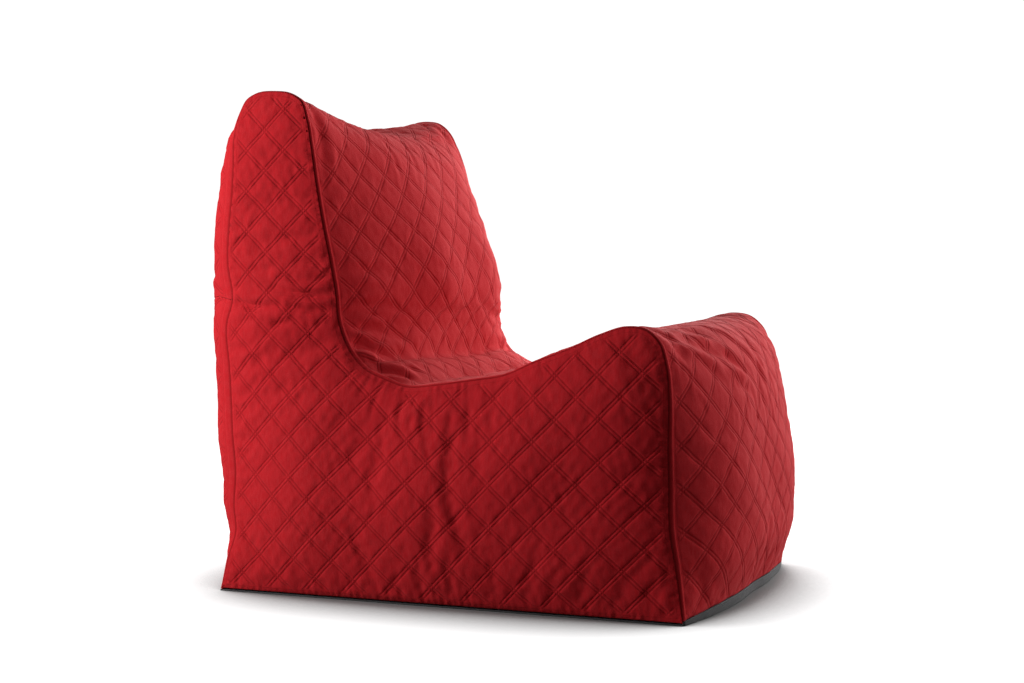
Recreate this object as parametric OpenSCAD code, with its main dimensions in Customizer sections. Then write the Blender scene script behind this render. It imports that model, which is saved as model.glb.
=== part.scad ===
// Bean bag chair: quilted cover with its zip, inner liner with its zip, base and bead fill.
// The origin is on the floor, at the middle of the chair. The front faces -Y.

/* [Chair] */
// Height of the two top corners of the backrest
chair_height = 950; // [880:5:1020]
// Depth at the floor, between the front seam and the back seam
chair_depth = 925; // [860:5:990]
// Width between the two side seams
chair_width = 714; // [660:2:760]

/* [Fullness] */
// How far each side panel bulges out past its seam
side_bulge = 42; // [25:1:60]
// How far the front of the seat block bulges at its fullest
front_bulge = 88; // [70:1:96]
// How far the top of the backrest sags between its corners
top_sag = 42; // [20:1:60]

/* [Cloth] */
// Thickness of the quilted cover
cover_t = 5; // [3:0.5:5]
// Thickness of the inner liner
liner_t = 1; // [0.8:0.1:1]
// Thickness of the base panel
base_t = 4.6; // [3:0.1:4.6]

/* [Zips] */
// Height of both zips above the floor
zip_z = 560; // [560:1:564]
// Length of a zip between its stops
zip_length = 543; // [400:1:543]
// Width of a zip with its tapes
zip_width = 34; // [28:1:36]

/* [Hidden] */

red = [0.68, 0.10, 0.13];
dark_red = [0.50, 0.06, 0.09];
grey = [0.22, 0.22, 0.23];
steel = [0.75, 0.75, 0.77];
liner_white = [0.88, 0.88, 0.86];

// Clearance between neighbouring layers
gap = 0.5;
half_w = chair_width / 2;

// Side outline, in order from the front bottom corner over the seat and the backrest to the back
// bottom corner: [y, z, crown of the band there]. The two zip rows are marked by their place.
design_depth = 925;
design_height = 950;
sy = chair_depth / design_depth;
sz = chair_height / design_height;
back_crown = 65;
back_y = 433;
zip_half_slot = 8;
front_end = [
    [-468, 5, 0], [-454, 120, 0.92], [-444, 260, 1.02], [-442, 400, 0.7], [-432, 470, 0.32]
];
seat_side = [
    [-408, 508, -8], [-363, 517, -10], [-318, 506, -4], [-258, 482, 0], [-198, 456, 2],
    [-133, 432, 4], [-8, 409, 4], [67, 407, 6], [132, 430, 22], [177, 475, 52],
    [200, 540, 74], [220, 650, 80], [242, 770, 58]
];
top_end = [
    [260, 890, -0.2], [277, 932, -0.7], [332, 950, -1], [380, 945, -0.95], [410, 915, -0.6]
];
back_upper = [[424, 840, 26], [432, 720, 52], [back_y, 610, back_crown]];
back_lower = [
    [back_y, 510, back_crown], [431, 390, 60], [427, 240, 50], [433, 110, 26], [457, 5, 0]
];
bottom_steps = 4;

// The outline is moved back so that the origin lies halfway between the two bulges
front_reach = 451 * sy + front_bulge;
back_reach = back_y * sy + back_crown;
set_back = (front_reach - back_reach) / 2;

function scaled(p, k) = [p[0] * sy + set_back, p[1] * sz, p[2] * k];
function at_zip(dz) = [back_y * sy + set_back, zip_z + dz, back_crown];

outline = concat(
    [for (p = front_end) scaled(p, front_bulge)],
    [for (p = seat_side) scaled(p, 1)],
    [for (p = top_end) scaled(p, top_sag)],
    [for (p = back_upper) scaled(p, 1)],
    [at_zip(zip_half_slot), at_zip(-zip_half_slot)],
    [for (p = back_lower) scaled(p, 1)]
);
points = len(outline);

// Two samples to each stretch of the outline
sub = 2;
front_rows = len(front_end) * sub;
seat_rows = len(seat_side) * sub;
top_rows = len(top_end) * sub;
zip_row = front_rows + seat_rows + top_rows + len(back_upper) * sub;
last_row = (points - 1) * sub;
loop_rows = last_row + bottom_steps * sub;

function spline(a, b, c, d, t) =
    0.5 * (2 * b + (c - a) * t + (2 * a - 5 * b + 4 * c - d) * t * t
    + (3 * b - a - 3 * c + d) * t * t * t);
function held(i) = outline[max(0, min(points - 1, i))];
function curve(r) =
    let (i = min(points - 2, floor(r / sub)), t = r / sub - i)
    spline(held(i - 1), held(i), held(i + 1), held(i + 2), t);
function unit(v) = v / norm(v);
// Direction out of the outline at a row
function outward(r) =
    let (a = curve(max(0, r - 1)), b = curve(min(last_row, r + 1)),
        d = unit([b[0] - a[0], b[1] - a[1]]))
    [-d[1], d[0]];

// One row of the outline, moved inward by inset, with its bottom at z = low
function row_at(r, inset, low) =
    r <= last_row
    ? let (p = curve(r), n = outward(r), level = r == 0 || r == last_row)
        [p[0] - n[0] * inset, level ? low : p[1] - n[1] * inset, p[2]]
    : let (a = row_at(0, inset, low), b = row_at(last_row, inset, low),
        t = (r - last_row) / (loop_rows - last_row))
        [b[0] + (a[0] - b[0]) * t, low, 0];
function loop_at(inset, low) = [for (r = [0 : loop_rows - 1]) row_at(r, inset, low)];

// How the crown of the band is spread over its width, u from 0 at the middle to 1 at the seam
// It is rounded in front and flat across the back, where the zips lie.
function round_crown(u) = 1 - pow(u, 2.6);
function flat_crown(u) = min(1, 1.25 * (1 - pow(u, 12)));
function full(u, r) = r < front_rows + seat_rows ? round_crown(u) : flat_crown(u);
function hollow(u) = 1 - pow(u, 1.3);

// The band's columns across the width. The zip ends between the fourth and the fifth.
zip_col = 0.865;
half_cols = [1, 0.97, 0.93, 0.89, zip_col, 0.6, 0.3];
cols = concat([for (c = half_cols) -c], [0], [for (i = [len(half_cols) - 1 : -1 : 0]) half_cols[i]]);

// A point of the band: half is its own half width, fill its share of the cover's crown. A crown
// above zero stands out from the outline, and one below zero sags straight down.
function band_point(r, u, loop, half, inset, fill) =
    let (p = loop[r], n = r <= last_row ? outward(r) : [0, 0], x = u * half, a = abs(u),
        out = max(0, p[2]) * full(a, r) * fill,
        sag = min(0, p[2]) * hollow(abs(x) / cover_half),
        slot = zip_half_slot - gap / 2,
        shut = r == zip_row ? -slot : (r == zip_row + sub ? slot : 0),
        dz = a > zip_col ? shut : 0)
    [x, p[0] + n[0] * out, p[1] + n[1] * out + sag + dz];
function band_rows(first, last, half, inset, low, fill) =
    let (loop = loop_at(inset, low))
    [for (r = [first : last]) [for (u = cols) band_point(r, u, loop, half, inset, fill)]];

// Side panel grid: i runs along the seat side, j across to the back and the bottom
side_i = seat_rows;
side_j = front_rows;
function mix(a, b, t) = a * (1 - t) + b * t;
function side_row(i, j) =
    j == 0 ? front_rows + i :
    j == side_j ? (loop_rows - i) % loop_rows :
    i == 0 ? front_rows - j :
    i == side_i ? front_rows + seat_rows + j : -1;
// The curve of each end of the panel dies away over end_fade of its length
end_fade = 6;
function side_yz(i, j, loop) =
    let (u = i / side_i, v = j / side_j,
        near = loop[side_row(i, 0)], far = loop[side_row(i, side_j)],
        front = loop[side_row(0, j)]
            - mix(loop[side_row(0, 0)], loop[side_row(0, side_j)], v),
        top = loop[side_row(side_i, j)]
            - mix(loop[side_row(side_i, 0)], loop[side_row(side_i, side_j)], v))
    mix(near, far, v) + pow(1 - u, end_fade) * front + pow(u, end_fade) * top;
function side_crown(i, j) =
    let (a = abs(2 * i / side_i - 1), b = abs(2 * j / side_j - 1))
    side_bulge * (1 - pow(a, 5)) * (1 - pow(b, 3));
function side_point(i, j, loop, x) =
    let (p = side_yz(i, j, loop))
    [x - side_crown(i, j), p[0], p[1]];
function side_grid(x, inset, low) =
    let (loop = loop_at(inset, low))
    [for (i = [0 : side_i]) [for (j = [0 : side_j]) side_point(i, j, loop, x)]];

function flat_list(rows) = [for (row = rows) for (p = row) p];
function quad(a, b, c, d) = [[a, b, c], [a, c, d]];

// The two triangles of a grid's cell, with n points to a row and its first point numbered start
function cell(r, c, n, start) =
    let (k = start + r * n + c) quad(k, k + n, k + n + 1, k + 1);
function turned(f) = [f[0], f[2], f[1]];

// A closed sheet between two grids of the same size, front first as seen from its own side
module sheet(outer, inner) {
    rows = len(outer);
    n = len(outer[0]);
    m = rows * n;
    last = n - 1;
    face = [for (r = [0 : rows - 2]) for (c = [0 : n - 2]) for (f = cell(r, c, n, 0)) f];
    back = [for (r = [0 : rows - 2]) for (c = [0 : n - 2]) for (f = cell(r, c, n, m)) turned(f)];
    left = [for (r = [0 : rows - 2]) let (k = r * n)
        for (f = quad(k, m + k, m + k + n, k + n)) f];
    right = [for (r = [0 : rows - 2]) let (k = r * n + last)
        for (f = quad(k, k + n, m + k + n, m + k)) f];
    start = [for (c = [0 : n - 2]) for (f = quad(c, c + 1, m + c + 1, m + c)) f];
    end = [for (c = [0 : n - 2]) let (k = m - n + c)
        for (f = quad(k, m + k, m + k + 1, k + 1)) f];
    polyhedron(points = concat(flat_list(outer), flat_list(inner)),
        faces = concat(face, back, left, right, start, end), convexity = 10);
}

// Depths of the layers, measured inward from the cover's face
cover_low = base_t + 0.4;
liner_face = cover_t + gap;
liner_low = cover_low + 0.2 + liner_t + 0.4;
fill_face = liner_face + liner_t + gap;
fill_low = liner_low + 0.6;
cover_half = half_w - cover_t - 0.4;
liner_half = half_w - liner_face - liner_t - 0.4;
fill_half = half_w - fill_face;
// Shares of the cover's crown: the liner and the beads lie back from the zips' sliders
liner_share = 55 / back_crown;
fill_share = 50 / back_crown;

module side_sheet(face, thickness, low) {
    sheet(side_grid(-half_w + face + thickness, face, low), side_grid(-half_w + face, face, low));
}
module band_sheet(first, last, half, face, thickness, low, share) {
    sheet(band_rows(first, last, half, face, low, share),
        band_rows(first, last, half, face + thickness, low, share));
}

module side_panel_right() color(red) side_sheet(0, cover_t, cover_low);
module side_panel_left() color(red) mirror([1, 0, 0]) side_sheet(0, cover_t, cover_low);
module centre_panel() color(red) band_sheet(0, zip_row, cover_half, 0, cover_t, cover_low, 1);
module lower_back_panel()
    color(red) band_sheet(zip_row + sub, last_row, cover_half, 0, cover_t, cover_low, 1);

module liner_side_right() color(liner_white) side_sheet(liner_face, liner_t, liner_low);
module liner_side_left()
    color(liner_white) mirror([1, 0, 0]) side_sheet(liner_face, liner_t, liner_low);
module liner_band()
    color(liner_white) band_sheet(0, zip_row, liner_half, liner_face, liner_t, liner_low, liner_share);
module liner_lower_back()
    color(liner_white)
    band_sheet(zip_row + sub, last_row, liner_half, liner_face, liner_t, liner_low, liner_share);

// A plate on the floor between the front and the back seams
module floor_plate(half, z, thickness, margin) {
    front_y = outline[0][0] + margin;
    back_edge = outline[points - 1][0] - margin;
    translate([-half, front_y, z]) cube([2 * half, back_edge - front_y, thickness]);
}
module base_panel() color(grey) floor_plate(half_w, 0, base_t, 0);
module liner_base() color(liner_white)
    floor_plate(half_w - cover_t - 1, cover_low + 0.2, liner_t, cover_t + 1.5);

// The beads: the band closed round under the seat, with a side grid at each end
module bead_fill() {
    loop = loop_at(fill_face, fill_low);
    n = len(cols);
    band = [for (r = [0 : loop_rows - 1])
        [for (u = cols) band_point(r, u, loop, fill_half, fill_face, fill_share)]];
    inner_i = side_i - 1;
    inner_j = side_j - 1;
    side = side_grid(-fill_half, fill_face, fill_low);
    right = [for (i = [1 : inner_i]) for (j = [1 : inner_j]) side[i][j]];
    left = [for (p = right) [-p[0], p[1], p[2]]];
    right_start = loop_rows * n;
    left_start = right_start + inner_i * inner_j;
    function index(i, j, edge, start) =
        side_row(i, j) >= 0 ? side_row(i, j) * n + edge : start + (i - 1) * inner_j + j - 1;
    function side_quad(i, j, edge, start) =
        [index(i, j, edge, start), index(i + 1, j, edge, start),
            index(i + 1, j + 1, edge, start), index(i, j + 1, edge, start)];
    tube = [for (r = [0 : loop_rows - 1]) for (c = [0 : n - 2])
        let (s = (r + 1) % loop_rows)
        for (f = quad(r * n + c, s * n + c, s * n + c + 1, r * n + c + 1)) f];
    right_faces = [for (i = [0 : inner_i]) for (j = [0 : inner_j])
        let (q = side_quad(i, j, 0, right_start)) for (f = quad(q[0], q[3], q[2], q[1])) f];
    left_faces = [for (i = [0 : inner_i]) for (j = [0 : inner_j])
        let (q = side_quad(i, j, n - 1, left_start)) for (f = quad(q[0], q[1], q[2], q[3])) f];
    color(liner_white) polyhedron(points = concat(flat_list(band), right, left),
        faces = concat(tube, right_faces, left_faces), convexity = 10);
}

// Zips. Each lies straight across the flat of the back, its tapes against the inside of its panels.
tape_t = 1;
teeth_half_t = 1.3;
teeth_in = 0.8;
teeth_out = 3.6;
stop_length = 4;
stop_clear = 0.4;
slider_length = 12;
slider_half_w = 5.5;
plate_in = 1.65;
plate_out = 3.45;
flange_z = 3.95;
flange_y = 0.85;
bridge_length = 3;
bridge_t = 0.9;
zip_outline_y = back_y * sy + set_back;
cover_zip_y = zip_outline_y + back_crown - cover_t - 0.4 - tape_t / 2;
liner_zip_y = zip_outline_y + back_crown * liner_share - liner_face - liner_t - 0.4 - tape_t / 2;
travel = zip_length / 2 - slider_length / 2 - stop_clear;

module zip_tape(y, side) {
    low = side > 0 ? teeth_out + 0.05 : -zip_width / 2;
    translate([-zip_length / 2 - 12, y - tape_t / 2, zip_z + low])
        cube([zip_length + 24, tape_t, zip_width / 2 - teeth_out - 0.05]);
}
module zip_teeth(y, side) {
    low = side > 0 ? teeth_in : -teeth_out;
    translate([-zip_length / 2, y - teeth_half_t, zip_z + low])
        cube([zip_length, 2 * teeth_half_t, teeth_out - teeth_in]);
}
// Two clips at the closed end, one on each row, and one across both rows at the open end
module zip_stops(y) {
    start = zip_length / 2 + 0.05;
    for (low = [teeth_in, -teeth_out])
        translate([start, y - 1.6, zip_z + low]) cube([stop_length, 3.2, teeth_out - teeth_in]);
    translate([-start - stop_length, y - 1.6, zip_z - teeth_out])
        cube([stop_length, 3.2, 2 * teeth_out]);
}
// Half of a slider, seen along the zip: a plate with a flange down each edge
module slider_half() {
    polygon([
        [-slider_half_w, flange_y], [-flange_z, flange_y], [-flange_z, plate_in],
        [flange_z, plate_in], [flange_z, flange_y], [slider_half_w, flange_y],
        [slider_half_w, plate_out - 0.7], [slider_half_w - 0.9, plate_out],
        [0.9 - slider_half_w, plate_out], [-slider_half_w, plate_out - 0.7]
    ]);
}
// A slider's body at its closed end, with the bridge that runs between the two rows
module slider_body(y) {
    translate([travel, y, zip_z]) {
        for (flip = [0, 1])
            mirror([0, flip, 0]) translate([-slider_length / 2, 0, 0])
                rotate([90, 0, 90]) linear_extrude(slider_length) slider_profile();
        translate([slider_length / 2 - bridge_length, -plate_in - 0.2, -bridge_t / 2])
            cube([bridge_length, 2 * plate_in + 0.4, bridge_t]);
    }
}
module slider_profile() rotate(90) mirror([0, 1, 0]) slider_half();

// The loop on the cover's slider that holds the pull
loop_length = 9;
loop_t = 2.4;
loop_height = 3.6;
eye_y = 1.75;
eye_half_x = 2;
eye_half_y = 0.95;
module slider_loop(y) {
    translate([travel, y + plate_out, zip_z])
        difference() {
            translate([-loop_length / 2, -0.2, -loop_t / 2])
                cube([loop_length, loop_height + 0.2, loop_t]);
            translate([-eye_half_x, eye_y - eye_half_y, -loop_t])
                cube([2 * eye_half_x, 2 * eye_half_y, 2 * loop_t]);
        }
}

// The pull: a pin through the loop, two arms and a tab that lies along the zip
pin_r = 0.7;
arm_in = 1.7;
arm_out = 3.1;
arm_length = 8;
tab_length = 24;
tab_half_w = 4.2;
hole_r = 2;
pull_y = cover_zip_y + plate_out + eye_y;

module cover_zip_pull() {
    color(steel) translate([travel, pull_y, zip_z]) {
        translate([0, 0, -arm_out]) cylinder(r = pin_r, h = 2 * arm_out, $fn = 24);
        for (low = [arm_in, -arm_out])
            translate([-arm_length, -pin_r, low]) cube([arm_length, 2 * pin_r, arm_out - arm_in]);
        translate([-arm_length, 0, 0]) rotate([90, 0, 0])
            translate([0, 0, -pin_r]) linear_extrude(2 * pin_r) difference() {
                polygon([
                    [0, -arm_out], [0, arm_out], [-4, tab_half_w], [-tab_length + 3, tab_half_w],
                    [-tab_length, tab_half_w - 2.5], [-tab_length, 2.5 - tab_half_w],
                    [-tab_length + 3, -tab_half_w], [-4, -tab_half_w]
                ]);
                translate([-tab_length + 5, 0]) circle(r = hole_r, $fn = 32);
            }
    }
}

module cover_zip_upper_tape() color(dark_red) zip_tape(cover_zip_y, 1);
module cover_zip_lower_tape() color(dark_red) zip_tape(cover_zip_y, -1);
module cover_zip_upper_teeth() color(dark_red) zip_teeth(cover_zip_y, 1);
module cover_zip_lower_teeth() color(dark_red) zip_teeth(cover_zip_y, -1);
module cover_zip_stops() color(steel) zip_stops(cover_zip_y);
module cover_zip_slider() color(steel) {
    slider_body(cover_zip_y);
    slider_loop(cover_zip_y);
}
module liner_zip_upper_tape() color(liner_white) zip_tape(liner_zip_y, 1);
module liner_zip_lower_tape() color(liner_white) zip_tape(liner_zip_y, -1);
module liner_zip_upper_teeth() color(liner_white) zip_teeth(liner_zip_y, 1);
module liner_zip_lower_teeth() color(liner_white) zip_teeth(liner_zip_y, -1);
module liner_zip_stops() color(steel) zip_stops(liner_zip_y);
module liner_zip_slider() color(steel) slider_body(liner_zip_y);

side_panel_right();
side_panel_left();
centre_panel();
lower_back_panel();
base_panel();
cover_zip_upper_tape();
cover_zip_lower_tape();
cover_zip_upper_teeth();
cover_zip_lower_teeth();
cover_zip_stops();
cover_zip_slider();
cover_zip_pull();
liner_side_right();
liner_side_left();
liner_band();
liner_lower_back();
liner_base();
liner_zip_upper_tape();
liner_zip_lower_tape();
liner_zip_upper_teeth();
liner_zip_lower_teeth();
liner_zip_stops();
liner_zip_slider();
bead_fill();
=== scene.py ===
"""Bean bag chair: quilted cover, dark base, zips, liner and beads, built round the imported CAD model."""
import math

import bpy
import numpy as np
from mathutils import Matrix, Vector, geometry, kdtree


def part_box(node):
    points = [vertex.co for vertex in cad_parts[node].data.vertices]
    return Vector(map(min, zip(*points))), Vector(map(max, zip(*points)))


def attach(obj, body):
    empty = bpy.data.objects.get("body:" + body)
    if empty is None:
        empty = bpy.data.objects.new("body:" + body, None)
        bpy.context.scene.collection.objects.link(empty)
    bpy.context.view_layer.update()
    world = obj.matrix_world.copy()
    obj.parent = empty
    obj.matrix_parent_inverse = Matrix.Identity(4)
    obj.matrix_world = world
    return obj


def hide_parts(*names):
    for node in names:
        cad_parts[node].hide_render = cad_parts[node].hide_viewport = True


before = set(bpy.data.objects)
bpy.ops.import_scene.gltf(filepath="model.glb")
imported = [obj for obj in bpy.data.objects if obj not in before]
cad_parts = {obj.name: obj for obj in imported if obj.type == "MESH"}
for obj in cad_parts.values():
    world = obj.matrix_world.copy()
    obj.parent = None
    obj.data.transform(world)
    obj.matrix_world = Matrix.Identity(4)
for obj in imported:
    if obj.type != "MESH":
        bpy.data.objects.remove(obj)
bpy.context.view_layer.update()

RNG = np.random.default_rng(7)
MM = 0.001

# --- sizes that the CAD model gives

BASE_LOW, BASE_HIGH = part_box("base_panel")
SIDE_LOW, SIDE_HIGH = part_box("side_panel_right")
TAPE_LOW, TAPE_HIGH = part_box("cover_zip_upper_tape")
HALF_W = BASE_HIGH.x
SIDE_BULGE = -SIDE_LOW.x - HALF_W
ZIP_Z = (TAPE_LOW.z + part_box("cover_zip_lower_tape")[1].z) / 2
COVER_T = 5 * MM
SEAM_GAP = 0.4 * MM
ZIP_FACE_Y = TAPE_HIGH.y + COVER_T + 0.4 * MM
ZIP_GAP = 8 * MM
ZIP_OPEN_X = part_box("cover_zip_stops")[1].x + 28.5 * MM
ZIP_SHUT_X = ZIP_OPEN_X + 9 * MM
SET_BACK = BASE_LOW.y + 468 * MM

# The seam line of the right side, from the front's foot over the seat and the top and down the
# back: y, z, how far the band stands out from it halfway across (less than 0 sags down), how
# square the band's section is on the right and on the left, and how far the left side's seam
# lies from it in y and z.
SEAM = (
    (-470, 4, 30, 3, 3, 0, 0), (-457, 100, 80, 2.8, 3, -5, 0), (-446, 173, 90, 2.8, 3, -8, 0),
    (-444, 234, 92, 2.8, 3, -9, 0), (-442, 312, 84, 2.6, 3, -9, 0),
    (-443, 389, 66, 2.4, 3, -9, 0), (-437, 451, 42, 2.3, 3, -8, 2),
    (-423, 493, 12, 2.3, 3, -6, 4), (-398, 514, -6, 2, 2, -4, 6), (-362, 518, -10, 2, 2, 0, 8),
    (-317, 505, -4, 2, 2, 4, 7), (-258, 479, 4, 4, 4, 4, 4), (-186, 452, 7, 6, 6, 0, 0),
    (-134, 430, 7, 6, 6, 0, 0), (-70, 419, 4, 6, 6, 0, 0), (-5, 410, 0, 6, 6, 0, 0),
    (60, 405, 4, 6, 6, -2, 0), (104, 418, 16, 6, 6, -6, 0), (144, 436, 22, 3, 6, -10, 0),
    (172, 464, 42, 2, 5, -14, 0), (198, 518, 70, 1.4, 4.5, -14, 0),
    (205, 578, 84, 1.3, 4.2, -13, 0), (214, 626, 84, 1.3, 4.2, -12, 0),
    (230, 700, 76, 1.3, 4, -8, 0), (241, 768, 62, 1.35, 3.6, -2, 0),
    (252, 848, 36, 1.5, 3, 8, 0), (260, 897, 2, 2, 3, 18, -2), (274, 934, -36, 3, 3, 24, -4),
    (299, 949, -50, 3, 3, 16, -2), (331, 954, -53, 3, 3, 5, 0), (375, 951, -47, 3, 3, 0, 0),
    (396, 940, -22, 3, 3, 0, 0), (410, 918, 6, 5, 5, 0, 0), (422, 870, 46, 10, 10, 0, 0),
    (422, 812, 61, 12, 12, 0, 0), (425, 766, 66, 12, 12, 0, 0), (433, 700, 66, 12, 12, 0, 0),
    (436, 627, 64, 12, 12, 0, 0), (428, 560, 70, 12, 12, 0, 0), (441, 516, 60, 12, 12, 0, 0),
    (435, 432, 68, 12, 12, 0, 0), (428, 307, 72, 12, 12, 0, 0), (422, 232, 70, 12, 12, 0, 0),
    (428, 165, 64, 10, 10, 0, 0), (425, 114, 60, 8, 8, 0, 0), (437, 76, 44, 6, 6, 0, 0),
    (457, 4, 8, 4, 4, 0, 0),
)

# The quilting: the diamonds' two diagonals, and half the gap between the rows of a pair
DIAMOND_ACROSS = 81 * MM
DIAMOND_UP = 76.5 * MM
ROW_GAP = 1 / math.hypot(1 / DIAMOND_ACROSS, 1 / DIAMOND_UP)
PAIR_HALF = 3.1 * MM
PUFF = 1.05 * MM
PUFF_RISE = 9 * MM
GROOVE = 0.42 * MM
GROOVE_WIDTH = 1.1 * MM
# How far the rows that fall to the left side are out of step on the front, in rows
FRONT_SLIP = 0.22


def smooth(x, low, high):
    t = np.clip((x - low) / (high - low), 0, 1)
    return t * t * (3 - 2 * t)


def bell(x, width):
    return np.exp(-((x / width) ** 2))


def columns(*values):
    return np.stack(values, axis=1)


# --- smooth random fields


class Waves:
    """A smooth random field: a sum of plane waves with lengths from short to long, unit height."""

    def __init__(self, short, long, count=24, angle=0.0, spread=math.pi):
        size = short * (long / short) ** RNG.random(count)
        turn = angle + spread * (RNG.random(count) - 0.5)
        self.kx = 2 * math.pi / size * np.cos(turn)
        self.ky = 2 * math.pi / size * np.sin(turn)
        self.phase = 2 * math.pi * RNG.random(count)
        self.scale = math.sqrt(2.0 / count)

    def __call__(self, x, y):
        total = np.zeros(np.shape(x))
        for kx, ky, phase in zip(self.kx, self.ky, self.phase):
            total += np.cos(kx * x + ky * y + phase)
        return total * self.scale


# --- the seam line


def curve_through(points, step):
    """Cubic curve through the points by chord length, and how far along it each sample lies."""
    points = np.array(points, float)
    chord = np.concatenate([[0], np.cumsum(np.linalg.norm(np.diff(points, axis=0), axis=1))])
    slope = np.gradient(points, chord, axis=0)
    t = np.linspace(0, chord[-1], int(chord[-1] / step) + 1)
    i = np.clip(np.searchsorted(chord, t, side="right") - 1, 0, len(chord) - 2)
    h = (chord[i + 1] - chord[i])[:, None]
    f = (t - chord[i])[:, None] / h
    out = (
        (2 * f**3 - 3 * f**2 + 1) * points[i]
        + (f**3 - 2 * f**2 + f) * h * slope[i]
        + (3 * f**2 - 2 * f**3) * points[i + 1]
        + (f**3 - f**2) * h * slope[i + 1]
    )
    along = np.concatenate([[0], np.cumsum(np.linalg.norm(np.diff(out, axis=0), axis=1))])
    return out, along, t, chord


def blur(values, width):
    """Moving average with a soft window, the ends held."""
    n = max(3, int(width) | 1)
    window = np.hanning(n + 2)[1:-1]
    padded = np.pad(values, n // 2, mode="edge")
    return np.convolve(padded, window / window.sum(), mode="valid")


TABLE = np.array(SEAM, float)
TOP_SCALE = SIDE_HIGH.z / (951 * MM)
LINE, ALONG, SAMPLES, CORNERS = curve_through(TABLE[:, :2] * MM * [1, TOP_SCALE] + [SET_BACK, 0], 1 * MM)
LENGTH = ALONG[-1]
TANGENT = np.gradient(LINE, ALONG, axis=0)
OUT_Y = blur(-TANGENT[:, 1], 45)
OUT_Z = blur(TANGENT[:, 0], 45)
OUT_SIZE = np.hypot(OUT_Y, OUT_Z)
NORMAL = columns(OUT_Y / OUT_SIZE, OUT_Z / OUT_SIZE)
CROWN = blur(np.interp(SAMPLES, CORNERS, TABLE[:, 2] * MM), 35)
POWER_R, POWER_L = (blur(np.interp(SAMPLES, CORNERS, TABLE[:, k]), 40) for k in (3, 4))
FAR_Y, FAR_Z = (blur(np.interp(SAMPLES, CORNERS, TABLE[:, k] * MM), 40) for k in (5, 6))
BACK_PART = ALONG > 0.75 * LENGTH
ZIP_S = float(np.interp(-ZIP_Z, -LINE[BACK_PART, 1], ALONG[BACK_PART]))

far_seam = Waves(0.25, 0.9, 10)
seam_wander = Waves(0.18, 0.7, 14)
band_uneven = Waves(0.15, 0.5, 26)
side_uneven = Waves(0.16, 0.5, 26)


def at(s, values):
    return np.interp(s, ALONG, values)


def seam_point(s, left):
    """y and z of the seam at s. The left side's seam wanders a little from the right's."""
    y, z = at(s, LINE[:, 0]), at(s, LINE[:, 1])
    calm = smooth(z, 0.02, 0.10) * (1 - 0.9 * smooth(-np.abs(s - ZIP_S), -0.10, -0.03))
    y = y + left * (at(s, FAR_Y) + calm * 1.5 * MM * far_seam(s, 0 * s))
    z = z + left * (at(s, FAR_Z) + calm * 1.0 * MM * far_seam(s, 0 * s + 3.1))
    return y, z


def seam_x(y, z):
    """Half the chair's width at the seam, which isn't quite flat."""
    return HALF_W + 2.2 * MM * seam_wander(y, z) * smooth(z, 0.02, 0.10)


# --- the band's surface


# What the cloth simulation adds to the band, once it has run
band_extra = None


def band(x, s, lift=0.0):
    """The band without its quilting: x runs across from -HALF_W to HALF_W, s along the seam."""
    u = np.clip(x / HALF_W, -1, 1)
    a = np.abs(u)
    y, z = seam_point(s, (1 + u) / 2)
    seam_z = z
    crown = at(s, CROWN)
    soft = (np.sqrt(a * a + 0.02) - 0.02**0.5) / (1.02**0.5 - 0.02**0.5)
    full = 1 - soft ** np.where(u < 0, at(s, POWER_R), at(s, POWER_L))
    hollow = 1 - ((a * a + 0.03) ** 0.62 - 0.03**0.62) / (1.03**0.62 - 0.03**0.62)
    out = np.maximum(crown, 0) * full + lift
    ny, nz = at(s, NORMAL[:, 0]), at(s, NORMAL[:, 1])
    free = smooth(1 - a, 0.0, 0.22)
    flat = 1 - smooth(np.abs(s - ZIP_S), 0.05, 0.12)
    out = out + 1.5 * MM * band_uneven(x, s) * free * (1 - flat)
    if band_extra is not None:
        out = out + band_extra(x, s) * smooth(1 - a, 0.0, 0.09) * (1 - flat)
    y = y + out * ny
    z = z + out * nz + np.minimum(crown, 0) * hollow
    hold = (1 - smooth(np.abs(s - ZIP_S), 0.035, 0.085)) * smooth(1 - a, 0.07, 0.15)
    y = y + hold * (ZIP_FACE_Y + lift - y)
    z = z + hold * (seam_z - z)
    return u * seam_x(at(s, LINE[:, 0]), at(s, LINE[:, 1])), y, z


# --- the sides' surface


def inside(y, z, outline):
    """True for each point inside the closed outline."""
    found = np.zeros(np.shape(y), bool)
    for (ay, az), (by, bz) in zip(outline, np.roll(outline, -1, axis=0)):
        if az == bz:
            continue
        cross = (az > z) != (bz > z)
        found ^= cross & (y < (by - ay) * (z - az) / (bz - az) + ay)
    return found


def outline_of(left, step):
    """A side's closed outline, even steps, and the seam position of each point (-1 at the foot)."""
    count = int(LENGTH / step)
    s = np.linspace(0, LENGTH, count + 1)
    y, z = seam_point(s, np.full(len(s), float(left)))
    foot = int((y[-1] - y[0]) / step)
    f = np.linspace(0, 1, foot + 1)[1:-1]
    y = np.concatenate([y, y[-1] + f * (y[0] - y[-1])])
    z = np.concatenate([z, z[-1] + f * (z[0] - z[-1])])
    return columns(y, z), np.concatenate([s, -f])


class Grid:
    """Values on a regular grid, read back with a smooth cubic blend."""

    def __init__(self, low, step, values):
        self.low, self.step, self.values = low, step, values

    def __call__(self, y, z):
        total = 0.0
        cells = []
        for v, low, n in zip((y, z), self.low, self.values.shape):
            g = np.clip((v - low) / self.step, 1.001, n - 3.001)
            i = np.floor(g).astype(int)
            t = g - i
            w = ((1 - t) ** 3 / 6, (3 * t**3 - 6 * t**2 + 4) / 6,
                 (-3 * t**3 + 3 * t**2 + 3 * t + 1) / 6, t**3 / 6)
            cells.append((i, w))
        (iy, wy), (iz, wz) = cells
        for a in range(4):
            for b in range(4):
                total = total + wy[a] * wz[b] * self.values[iy + a - 1, iz + b - 1]
        return total


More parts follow.
